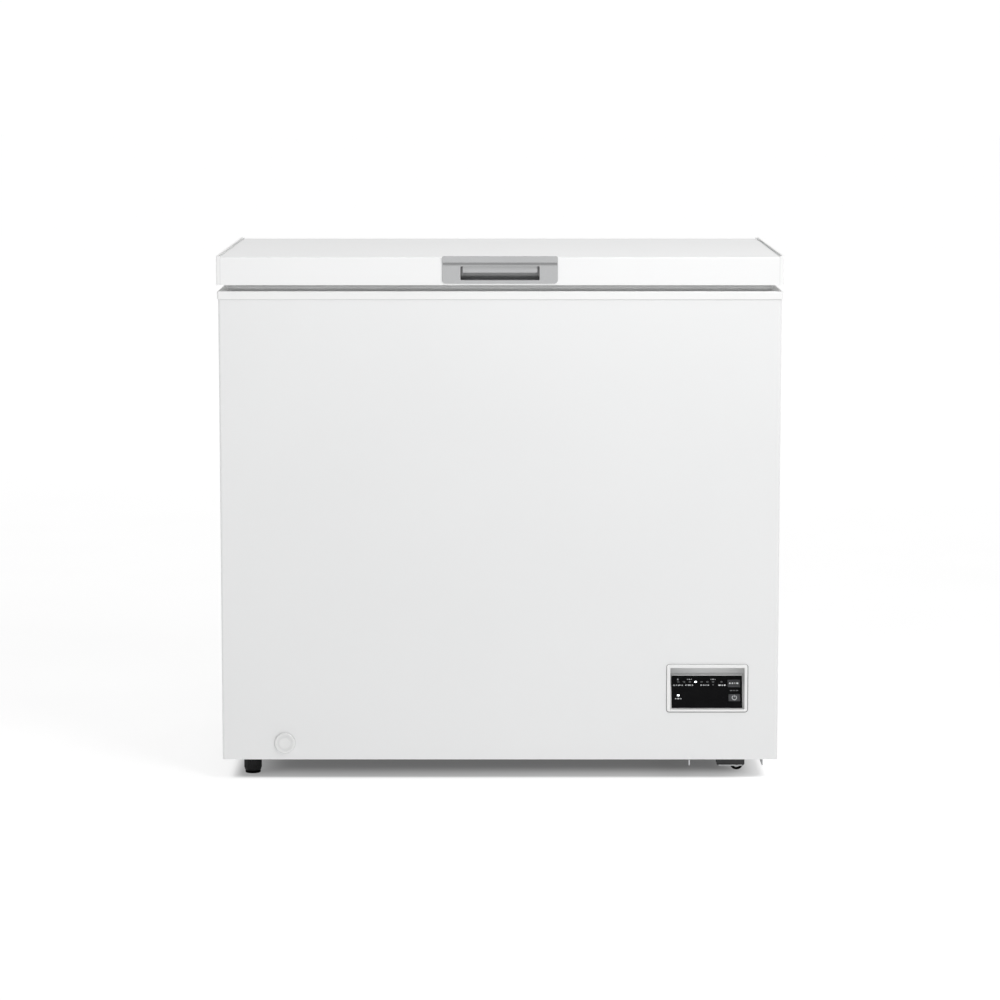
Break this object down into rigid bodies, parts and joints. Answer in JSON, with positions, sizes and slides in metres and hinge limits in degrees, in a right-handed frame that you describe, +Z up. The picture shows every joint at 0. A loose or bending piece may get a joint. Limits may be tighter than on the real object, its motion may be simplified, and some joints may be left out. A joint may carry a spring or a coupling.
{
  "type": "chest freezer",
  "caption": "White chest freezer with a hinged top lid and grey recessed handle, digital control panel, side vent, drain, wire basket, feet and wheels.",
  "frame": {"origin": "on the floor, under the middle of the freezer's overall box", "axes": "+X to the right of a user who faces the front, +Y to the back, +Z up"},
  "size_m": [0.905, 0.545, 0.85],
  "materials": {
    "white_steel": "gloss",
    "white_plastic": "satin",
    "silver_grey_plastic": "satin",
    "dark_plastic": "satin",
    "light_grey_plastic": "satin",
    "gloss_black_plastic": "gloss",
    "key_grey_plastic": "satin",
    "lamp_lens": "gloss",
    "circuit_board": "satin",
    "embossed_aluminium": "satin",
    "galvanised_steel": "satin",
    "black_painted_steel": "satin",
    "copper": "satin",
    "bright_steel": "polished",
    "foam": "matte",
    "grey_seal": "satin",
    "black_rubber": "matte",
    "black_tyre": "matte",
    "white_coated_wire": "satin"
  },
  "bodies": {
    "cabinet": {"outer_shell": "white_steel", "back_panel": "galvanised_steel", "bottom_plate": "galvanised_steel", "insulation_foam": "foam", "inner_liner": "embossed_aluminium", "top_collar": "white_plastic", "evaporator_coil": "copper", "condenser_coil": "copper", "temperature_probe": "white_plastic", "compressor_base_plate": "galvanised_steel", "compressor": "black_painted_steel", "compressor_terminal_cover": "dark_plastic", "compressor_grommets": "black_rubber", "compressor_bolts": "bright_steel", "filter_drier": "copper", "capillary_tube": "copper", "discharge_line": "copper", "suction_line": "copper", "rear_cover": "galvanised_steel", "cord_gland": "dark_plastic", "side_grille": "white_plastic", "casing_screws": "bright_steel", "control_bezel": "white_plastic", "control_fascia": "gloss_black_plastic", "control_board": "circuit_board", "indicator_lamps": "lamp_lens", "drain_outlet": "white_plastic", "drain_tube": "white_plastic", "foot_inserts": "bright_steel", "hinge_pins": "bright_steel", "hinge_springs": "bright_steel", "left_hinge_bracket": "galvanised_steel", "right_hinge_bracket": "galvanised_steel", "front_foot_pad": "black_rubber", "front_caster_bracket": "black_painted_steel", "rear_foot_pad": "black_rubber", "rear_caster_bracket": "black_painted_steel"},
    "lid": {"lid_skin": "white_steel", "left_lid_end_cap": "white_plastic", "right_lid_end_cap": "white_plastic", "lid_foam": "foam", "lid_liner": "white_plastic", "lid_gasket": "grey_seal", "lid_handle": "silver_grey_plastic", "lid_screws": "bright_steel", "left_hinge_leaf": "galvanised_steel", "right_hinge_leaf": "galvanised_steel"},
    "basket": {"basket_frame": "white_coated_wire", "basket_wires": "white_coated_wire", "basket_hangers": "white_coated_wire"},
    "drain_cap": {"drain_cap": "white_plastic"},
    "drain_plug": {"drain_plug": "white_plastic"},
    "select_key": {"select_key": "key_grey_plastic"},
    "power_key": {"power_key": "key_grey_plastic"},
    "front_foot_screw": {"front_foot_screw": "dark_plastic"},
    "rear_foot_screw": {"rear_foot_screw": "dark_plastic"},
    "front_wheel": {"front_wheel_hub": "light_grey_plastic", "front_wheel_tyre": "black_tyre"},
    "rear_wheel": {"rear_wheel_hub": "light_grey_plastic", "rear_wheel_tyre": "black_tyre"}
  },
  "joints": [
    {"name": "basket_slide", "type": "slide", "parent": "cabinet", "child": "basket", "axis": [-1, 0, 0], "range_m": [0, 0.5]},
    {"name": "drain_cap_pull", "type": "slide", "parent": "cabinet", "child": "drain_cap", "axis": [0, -1, 0], "range_m": [0, 0.03]},
    {"name": "drain_plug_lift", "type": "slide", "parent": "cabinet", "child": "drain_plug", "axis": [0, 0, 1], "range_m": [0, 0.04]},
    {"name": "foot_front_turn", "type": "hinge", "parent": "cabinet", "child": "front_foot_screw", "pos_m": [-0.405, -0.21, 0.02], "axis": [0, 0, 1], "range_deg": [-1440, 360]},
    {"name": "foot_rear_turn", "type": "hinge", "parent": "cabinet", "child": "rear_foot_screw", "pos_m": [-0.405, 0.193, 0.02], "axis": [0, 0, 1], "range_deg": [-1440, 360]},
    {"name": "lid_hinge", "type": "hinge", "parent": "cabinet", "child": "lid", "pos_m": [0, 0.2645, 0.805], "axis": [-1, 0, 0], "range_deg": [0, 80], "stiffness_Nm_per_rad": 5, "springref_deg": 80.21},
    {"name": "power_key_press", "type": "slide", "parent": "cabinet", "child": "power_key", "axis": [0, 0.9466, -0.3223], "range_m": [0, 0.0008], "stiffness_N_per_m": 1500, "springref_m": -0.0005},
    {"name": "select_key_press", "type": "slide", "parent": "cabinet", "child": "select_key", "axis": [0, 0.9466, -0.3223], "range_m": [0, 0.0008], "stiffness_N_per_m": 1500, "springref_m": -0.0005},
    {"name": "wheel_front_spin", "type": "hinge", "parent": "cabinet", "child": "front_wheel", "pos_m": [0.389, -0.186, 0.011], "axis": [0, 1, 0], "continuous": true},
    {"name": "wheel_rear_spin", "type": "hinge", "parent": "cabinet", "child": "rear_wheel", "pos_m": [0.389, 0.186, 0.011], "axis": [0, 1, 0], "continuous": true}
  ]
}
